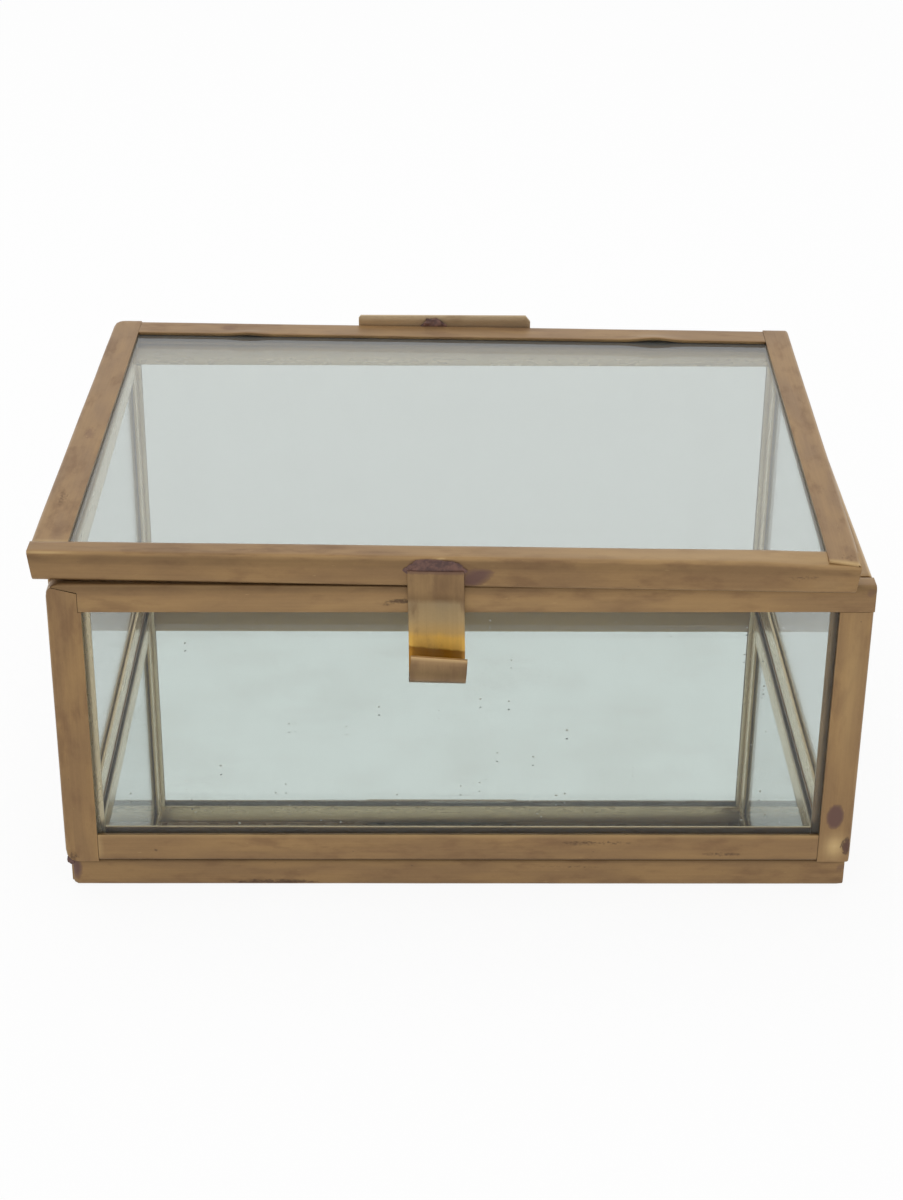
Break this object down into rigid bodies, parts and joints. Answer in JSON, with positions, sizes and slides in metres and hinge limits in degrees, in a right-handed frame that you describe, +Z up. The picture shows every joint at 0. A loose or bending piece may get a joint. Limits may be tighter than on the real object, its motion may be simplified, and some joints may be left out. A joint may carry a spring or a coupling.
{
  "type": "glass casket box",
  "caption": "Small casket of glass panes framed in folded brass channel, with a mirror base, a rear-hinged glass lid and a curled tongue at the front to lift it by.",
  "frame": {"origin": "on the table, under the middle of the bounding box of the closed casket, tongue and hinge included", "axes": "+X to the right along the front wall, +Y from the front wall to the hinge, +Z up"},
  "size_m": [0.102, 0.0852, 0.0488],
  "materials": {
    "channel_brass": "aged satin, tarnished brown",
    "tongue_brass": "satin, more yellow where the curl kept it clean",
    "hinge_brass": "satin, tarnished",
    "solder": "dull solder with dark flux stain",
    "clear_glass": "clear, faintly green",
    "mirror": "mirror, dusty"
  },
  "bodies": {
    "casket": {"base_mirror": "mirror", "base_rail_front": "channel_brass", "base_rail_rear": "channel_brass", "base_rail_left": "channel_brass", "base_rail_right": "channel_brass", "front_glass": "clear_glass", "front_top_rail": "channel_brass", "front_bottom_rail": "channel_brass", "front_left_stile": "channel_brass", "front_right_stile": "channel_brass", "rear_glass": "clear_glass", "rear_top_rail": "channel_brass", "rear_bottom_rail": "channel_brass", "rear_left_stile": "channel_brass", "rear_right_stile": "channel_brass", "left_glass": "clear_glass", "left_top_rail": "channel_brass", "left_bottom_rail": "channel_brass", "left_front_stile": "channel_brass", "left_rear_stile": "channel_brass", "right_glass": "clear_glass", "right_top_rail": "channel_brass", "right_bottom_rail": "channel_brass", "right_front_stile": "channel_brass", "right_rear_stile": "channel_brass", "hinge_leaf_lower": "hinge_brass", "hinge_pin": "hinge_brass", "body_solder": "solder"},
    "lid": {"lid_glass": "clear_glass", "lid_rail_front": "channel_brass", "lid_rail_rear": "channel_brass", "lid_rail_left": "channel_brass", "lid_rail_right": "channel_brass", "latch_tongue": "tongue_brass", "hinge_leaf_upper": "hinge_brass", "lid_solder": "solder"}
  },
  "joints": [
    {"name": "lid_hinge", "type": "hinge", "parent": "casket", "child": "lid", "pos_m": [-0.00052, 0.04143, 0.04367], "axis": [-1, 0, 0], "range_deg": [0, 180]}
  ]
}
